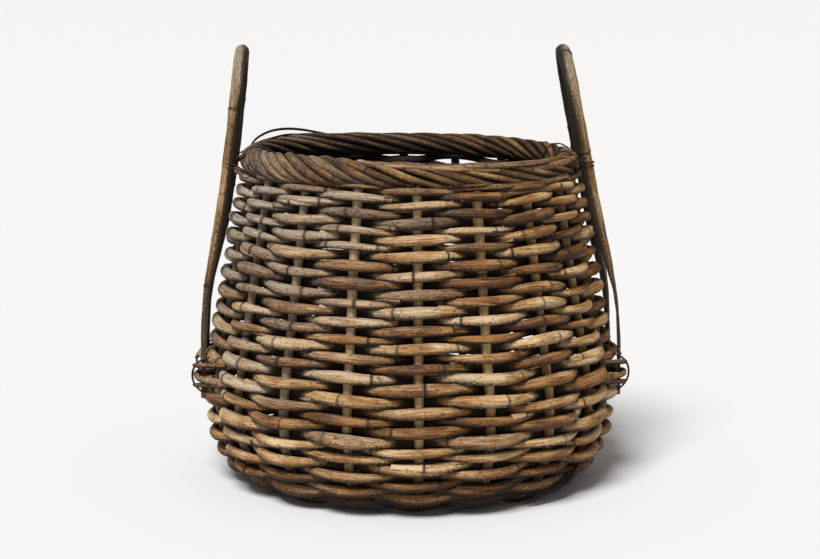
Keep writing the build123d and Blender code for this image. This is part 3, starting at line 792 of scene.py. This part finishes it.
# %% A line of runs and arcs
def rounded(points, share=0.5, spacing=3 * MM):
    """Points along straight runs joined by tangent arcs, each as large as that share of its runs allows."""
    points = [np.asarray(p, float) for p in points]
    line = [points[0]]
    for before, here, after in zip(points, points[1:], points[2:]):
        run_in, run_out = here - before, after - here
        reach = share * min(np.linalg.norm(run_in), np.linalg.norm(run_out))
        u, v = run_in / np.linalg.norm(run_in), run_out / np.linalg.norm(run_out)
        turn = np.arccos(np.clip(u @ v, -1, 1))
        if turn < 1e-4:
            line.append(here)
            continue
        radius = reach / np.tan(turn / 2)
        inward = (v - u) / np.linalg.norm(v - u)
        centre = here + inward * radius / np.cos(turn / 2)
        for part in np.linspace(-turn / 2, turn / 2, max(4, int(radius * turn / spacing))):
            along = (u + v) / np.linalg.norm(u + v)
            line.append(centre - inward * radius * np.cos(part) + along * radius * np.sin(part))
    line.append(points[-1])
    return np.array(line)

# %% [markdown]
# The two hoops are not alike.  The right one leans in further and is a little twisted, and each has a thick
# growth ring, a knuckle, at its own height.  The weather has greyed the grips, and painted shade over a little
# dirt makes the inner side of the legs nearly black.

# %% Bend the handles
HANDLE_SIDES = 20
HANDLE_SIZE, HOOP_RADIUS, HANDLE_RISE = 15 * MM, 57.5 * MM, 130.5 * MM
FOOT_OUTSIDE = 255.1 * MM
FOOT_THICK = 4.5 * MM
LEG_HEIGHTS = np.array([103, 165, 232, 382]) * MM
SHAVE_LOW, SHAVE_HIGH = 205 * MM, 300 * MM
KNEE = float(SIDE_START[0] + (LEG_HEIGHTS[2] - SIDE_START[1]) / np.tan(WALL_TURN)) + 29.6 * MM
BORDER_REACH = 14.7 * MM


def leg_radii(standoff):
    """Radii of a leg's middle at each of the leg's heights."""
    foot = FOOT_OUTSIDE - HANDLE_SIZE / 2
    return np.array([foot, foot, KNEE, BORDER_RADIUS + BORDER_REACH + standoff + HANDLE_SIZE / 2])


def handle_line(middle, standoff, lean, twist):
    """The hoop's middle line, from one foot over the top to the other.  twist turns its top a little."""
    radii = leg_radii(standoff)
    foot_half = radii[0] * np.sin(STEP / 2)
    halves = [foot_half, foot_half, (foot_half + HOOP_RADIUS) / 2, HOOP_RADIUS]
    leg = [(np.sqrt(r * r - h * h), h, z) for r, h, z in zip(radii, halves, LEG_HEIGHTS)]
    leg.append((leg[-1][0] - lean * HANDLE_RISE, HOOP_RADIUS, BORDER_HEIGHT + HANDLE_RISE))
    out, side = around(1, 0, middle), around(1, 0, middle + np.pi / 2)
    turned = twist * np.array([0, 0, 0.5, 1, 1])
    one = [out * (o + t) + side * h + np.array([0, 0, z]) for (o, h, z), t in zip(leg, turned)]
    back = zip(leg[::-1], turned[::-1])
    other = [out * (o - t) - side * h + np.array([0, 0, z]) for (o, h, z), t in back]
    return rounded(one + other)


def shave(piece, standoff):
    """Cuts the inside of both legs flat near the foot."""
    radii = leg_radii(standoff)
    for vertex in piece.data.vertices:
        x, y, z = vertex.co
        if z > SHAVE_HIGH:
            continue
        angle = np.arctan2(x, -y)
        leg = min(FEET, key=lambda foot: abs((angle - foot + np.pi) % (2 * np.pi) - np.pi))
        out = around(1, 0, leg)
        left = np.interp(z, [SHAVE_LOW, SHAVE_HIGH], [FOOT_THICK, HANDLE_SIZE])
        face = np.interp(z, LEG_HEIGHTS, radii) + HANDLE_SIZE / 2 - left
        depth = face - (x * out[0] + y * out[1])
        if depth > 0:
            vertex.co = (x + out[0] * depth, y + out[1] * depth, z)


def handle_dirt_and_shade(place, facing):
    """Dirt and painted shade for the handles: painted shade makes their inner side nearly black below the
    grip, and they get darker towards their feet.
    """
    # Painted shade: the side of a leg that faces the basket is darkened below the grip.  The rest is a little
    # dirt, darker towards the feet.
    out = place[:, :2] / np.linalg.norm(place[:, :2], axis=1)[:, None]
    inward = -(facing[:, 0] * out[:, 0] + facing[:, 1] * out[:, 1])
    low = 0.2 + 0.8 * np.clip((0.47 - place[:, 2]) / 0.05, 0, 1)
    foot = 0.3 * np.clip((0.34 - place[:, 2]) / 0.14, 0, 1)
    return 0.95 * low * np.clip((inward + 0.45) / 0.7, 0, 1) + 0.12 + foot


HANDLES = {
    # name: the angle of its middle, its distance from the border, its lean and its twist
    "left": (STAKE_PHASE + 13.5 * STEP, 10.8 * MM, 0.11, 0),
    "right": (STAKE_PHASE + 4.5 * STEP, 5.6 * MM, 0.195, 3 * MM),
}
KNUCKLES = {"left": 450 * MM, "right": 394 * MM}
for n, (name, (middle, standoff, lean, twist)) in enumerate(HANDLES.items()):
    rng = np.random.default_rng(600 + n)
    line = spread(handle_line(middle, standoff, lean, twist), 4 * MM)
    size = HANDLE_SIZE * (1 + 0.03 * wander(line[:, 2] * 3, rng, 0.12))
    grey = 0.05 + 0.6 * np.clip((line[:, 2] - 0.40) / 0.1, 0, 1)
    along = np.concatenate([[0], np.cumsum(np.linalg.norm(np.diff(line, axis=0), axis=1))])
    crossings = np.nonzero(np.diff(np.sign(line[:, 2] - KNUCKLES[name])))[0]
    tone = 0.53 - 0.24 * np.clip((0.36 - line[:, 2]) / 0.14, 0, 1) + 0.1 * wander(along, rng, 0.03)
    rod = make_rod(line, size, rng, tone, grey, 0.05, knots=0.26, swelling=0.11, rings=along[crossings])
    piece = weave(f"hoop_handle_{name}", [rod], HANDLE_SIDES, handle_dirt_and_shade)
    shave(piece, standoff)
    place_piece(piece, HANDLE, "handle_cane", f"handle_{name}")
    print("the", name, "handle is bent from", round(float(along[-1]), 2), "m of cane")

# %% [markdown]
# ## The wires at the rim
# Thin iron wire, rusted dark, ties each leg to the border.  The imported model's loops leave room round the
# rope.  The real wire was pulled tight, so new loops are drawn close to the rope and the leg, as thin rods
# without growth rings.

# %% Rusted wire
WIRE_SIZE, WIRE_SIDES, WIRE_PITCH = 1.8 * MM, 8, 2.2 * MM
ROPE_REACH = 14.9 * MM
RUST_SPOT = 3 * MM


def rusted_wire():
    """Iron wire with a skin of rust: dull, dark and reddish, with a little metal shining through."""
    material = bpy.data.materials.new("rusted_iron_wire")
    material.use_nodes = True
    tree = material.node_tree
    tree.nodes.clear()
    place = add_node(tree, "ShaderNodeTexCoord").outputs["Object"]
    spots = {"Scale": 1 / RUST_SPOT, "Detail": 3.0}
    rust = add_node(tree, "ShaderNodeTexNoise", spots, {"Vector": place}).outputs[0]
    colour = ramp(tree, rust, [(0.3, "1b0f0b"), (0.55, "3d1f15"), (0.75, "5a3020")])
    rough = add_node(tree, "ShaderNodeMapRange", {"To Min": 0.55, "To Max": 0.85}, {"Value": rust})
    bump = add_node(tree, "ShaderNodeBump", {"Strength": 0.4, "Distance": 0.2 * MM}, {"Height": rust})
    shader = add_node(
        tree, "ShaderNodeBsdfPrincipled", {"Metallic": 0.4},
        {"Base Color": colour, "Roughness": rough.outputs[0], "Normal": bump.outputs[0]},
    )
    add_node(tree, "ShaderNodeOutputMaterial", links={0: shader.outputs[0]})
    return material


def tie_line(leg_angle, leg_radius, first):
    """A wire round the outside of a leg and then round the rope, drawn tight."""
    leg = HANDLE_SIZE / 2 + WIRE_SIZE / 2
    level = WIRE_PITCH if first else -WIRE_PITCH
    points = [
        (leg_radius - 4 * MM, -leg, level),
        (leg_radius + leg * 0.7, -leg * 0.7, level),
        (leg_radius + leg * 0.7, leg * 0.7, level),
        (leg_radius - 4 * MM, leg, level),
    ]
    for turn in np.radians(np.arange(-50, -311, -20)):
        share = (np.degrees(-turn) - 50) / 260
        side = leg * (1 - 2 * share)
        points.append((BORDER_RADIUS + ROPE_REACH * np.cos(turn), side, ROPE_REACH * np.sin(turn)))
    points.append(points[0])
    out, aside = around(1, 0, leg_angle), around(1, 0, leg_angle + np.pi / 2)
    line = [out * o + aside * t + np.array([0, 0, BORDER_HEIGHT + z]) for o, t, z in points]
    return spread(line, 1.5 * MM)

# The wire is iron, rusted all over: dull, dark and reddish, with a little metal shining through.
WIRE = rusted_wire()
for name, (middle, standoff, lean, twist) in HANDLES.items():
    rods = []
    leg_radius = leg_radii(standoff)[3]
    for way in (1, -1):
        leg_angle = middle + way * np.arcsin(HOOP_RADIUS / leg_radius)
        for first in (True, False):
            rng = np.random.default_rng(700 + len(rods))
            rods.append(make_rod(tie_line(leg_angle, leg_radius, first), WIRE_SIZE, rng, knots=9, swelling=0))
    place_piece(weave(f"rim_wires_{name}", rods, WIRE_SIDES), WIRE, "tie_wire", f"rim_ties_{name}")
    print("loops of wire at the", name, "handle:", len(rods))

# %% [markdown]
# ## Loose ends
# A basket this old is coming apart a little.  Thin canes have sprung out of the back of the rope, a rod's end
# sticks out beside the left handle, and strips of cane have come away at the bottom edge on the right.  Each
# is a thin cane bent through a few points: millimetres out, millimetres up, and degrees round from the front.

# %% Loose canes
def loose(points, size, seed, tone=0.4, dirt_and_shade=0.3):
    """A thin cane through a few points."""
    line = spread(rounded(points, spacing=2 * MM), 2.5 * MM)
    ends = np.linspace(0, 1, len(line))
    thick = size * (0.55 + 0.45 * np.sin(np.pi * np.clip(ends, 0.02, 0.98)) ** 0.5)
    return make_rod(line, thick, np.random.default_rng(seed), tone, 0.2, dirt_and_shade, knots=0.3)


def rim_place(out, up, degrees):
    """A point out from the rope's middle and up from it."""
    angle = np.radians(degrees)
    return around(BORDER_RADIUS + out * MM, rim_height(angle) + up * MM, angle)


def bottom_place(out, up, degrees):
    """A point out from the bottom corner of the wall and up from the floor."""
    return around(float(wall(30 * MM)[0]) + out * MM, up * MM, np.radians(degrees))


SPRUNG = [(8, 6, -96), (8, 16, -104), (4, 23, -116), (2, 22, -130), (4, 14, -144), (2, 6, -156)]
SECOND = [(-4, 6, -100), (-3, 15, -112), (0, 16, -128), (2, 8, -145)]
STUB = [(-6, -12, -70), (8, -16, -78), (17, -15, -86), (25, -14, -90)]
STRIP = [(12, 50, 62), (16, 32, 56), (17, 16, 47), (6, 6, 38)]
SECOND_STRIP = [(10, 62, 66), (19, 40, 60), (20, 20, 52), (10, 8, 40)]
LOOSE = [
    # the points, how they are measured, the cane's size in mm, its seed, its tone and its dirt
    (SPRUNG, rim_place, 3.2, 801, 0.2, 0.5),
    (SECOND, rim_place, 2.4, 802, 0.2, 0.5),
    (STUB, rim_place, 9, 803, 0.5, 0.1),
    (STRIP, bottom_place, 4.5, 804, 0.3, 0.3),
    (SECOND_STRIP, bottom_place, 3.5, 805, 0.3, 0.4),
]
rods = []
for places, measure, size, seed, tone, dirt_and_shade in LOOSE:
    rods.append(loose([measure(*place) for place in places], size * MM, seed, tone, dirt_and_shade))
place_piece(weave("loose_canes", rods), WEAVER, "rattan_weaver")
print("loose canes:", len(rods))

# %% [markdown]
# Where the feet of the handles go into the weave, short canes were pushed in over them, and a dark fibre holds
# each foot.

# %% Straps over the feet
STRAP_SIZE, STRAP_HEIGHTS = 6.4 * MM, (142, 118)
STRAP = [(-20, 8, 12), (-6, 5, 6), (5, 0, 0), (6.5, -4, -5)]
FIBRE_SIZE = 2.6 * MM
FIBRE = [(-16, 157, 5), (3, 150, 1), (11, 134, -1), (9, 118, -1), (-8, 105, 4)]


def foot_place(foot, way, out, up, degrees):
    """A point out from a foot's outer face, up from the floor, and round from the foot."""
    return around(FOOT_OUTSIDE + out * MM, up * MM, foot + way * np.radians(degrees))


rods = []
for n, (foot, way) in enumerate(zip(FEET, (-1, 1, -1, 1))):
    for height in STRAP_HEIGHTS:
        places = [foot_place(foot, way, out, height + up, degrees) for out, up, degrees in STRAP]
        rods.append(loose(places, STRAP_SIZE, 820 + n, 0.42, 0.25))
    rods.append(loose([foot_place(foot, way, *place) for place in FIBRE], FIBRE_SIZE, 830 + n, 0.15, 0.4))
place_piece(weave("foot_straps", rods), WEAVER, "rattan_weaver")
print("canes and fibres at the feet:", len(rods))

# %% [markdown]
# The maker's last canes lie nearly level along the rope at the right of the front, and are cut off at the
# handle.

# %% The last canes of the border
FINISHING = [
    # first and last angle in degrees, height at each in mm, size in mm, and seed
    (8, 66, -14, -9, 8.5, 811),
    (24, 72, -20, -19, 8, 812),
    (2, 52, 9, 13, 7.5, 813),
    (30, 78, 3, 10, 8.5, 814),
    (-14, 30, 12, 6, 7, 815),
]


def finish(start, end, low, high, size, seed):
    """A cane that comes out of the rope and lies along its outside."""
    shares = (0, 0.25, 0.5, 0.75, 1)
    places = [rim_place(9 + 3 * t, low + (high - low) * t, start + (end - start) * t) for t in shares]
    places[0] = rim_place(0, low - 3, start - 6)
    return loose(places, size * MM, seed, 0.5, 0.1)


rods = [finish(*sizes) for sizes in FINISHING]
place_piece(weave("finishing_canes", rods), BORDER, "rattan_border")
print("finishing canes:", len(rods))

# %% [markdown]
# ## The studio
# A plain pale floor, one wide soft sun from above, in front and a little to the left, and a pale, slightly
# warm sky that fills the shadows.  The camera stands about 2.4 m away and looks down a little.

# %% Floor, sun and sky
FLOOR_HALF = 40
SUN_STRENGTH, SUN_WIDTH, SUN_FROM = 3.3, np.radians(24), Vector((-0.32, -0.85, 1.25))
SKY_STRENGTH = 0.28

floor_mesh = bmesh.new()
bmesh.ops.create_grid(floor_mesh, x_segments=1, y_segments=1, size=FLOOR_HALF)
floor_data = bpy.data.meshes.new("floor")
floor_mesh.to_mesh(floor_data)
floor_mesh.free()
floor = bpy.data.objects.new("floor", floor_data)
bpy.context.scene.collection.objects.link(floor)
pale = bpy.data.materials.new("pale_floor")
pale.use_nodes = True
pale.node_tree.nodes["Principled BSDF"].inputs["Base Color"].default_value = linear("eeeeee")
pale.node_tree.nodes["Principled BSDF"].inputs["Roughness"].default_value = 0.9
floor_data.materials.append(pale)
sun_data = bpy.data.lights.new("sun", "SUN")
sun_data.energy = SUN_STRENGTH
sun_data.angle = SUN_WIDTH
sun = bpy.data.objects.new("sun", sun_data)
sun.rotation_euler = (-SUN_FROM).to_track_quat("-Z", "Y").to_euler()
bpy.context.scene.collection.objects.link(sun)
world = bpy.data.worlds.new("sky")
world.use_nodes = True
world.node_tree.nodes["Background"].inputs[0].default_value = linear("fffaf3")
world.node_tree.nodes["Background"].inputs[1].default_value = SKY_STRENGTH
bpy.context.scene.world = world
bpy.context.scene.view_settings.view_transform = "Standard"
print("the sun is", round(float(np.degrees(SUN_WIDTH))), "degrees wide, so its shadows are soft")

# %% The camera
CAMERA_PLACE, CAMERA_DOWN = (0, -2.36, 0.625), 9.35
camera_data = bpy.data.cameras.new("camera")
camera_data.lens = 86.8
camera = bpy.data.objects.new("camera", camera_data)
camera.location = CAMERA_PLACE
camera.rotation_euler = (np.radians(90 - CAMERA_DOWN), 0, 0)
bpy.context.scene.collection.objects.link(camera)
bpy.context.scene.camera = camera
print("the camera looks down", CAMERA_DOWN, "degrees from", CAMERA_PLACE)

# %% Finish
bpy.context.view_layer.update()
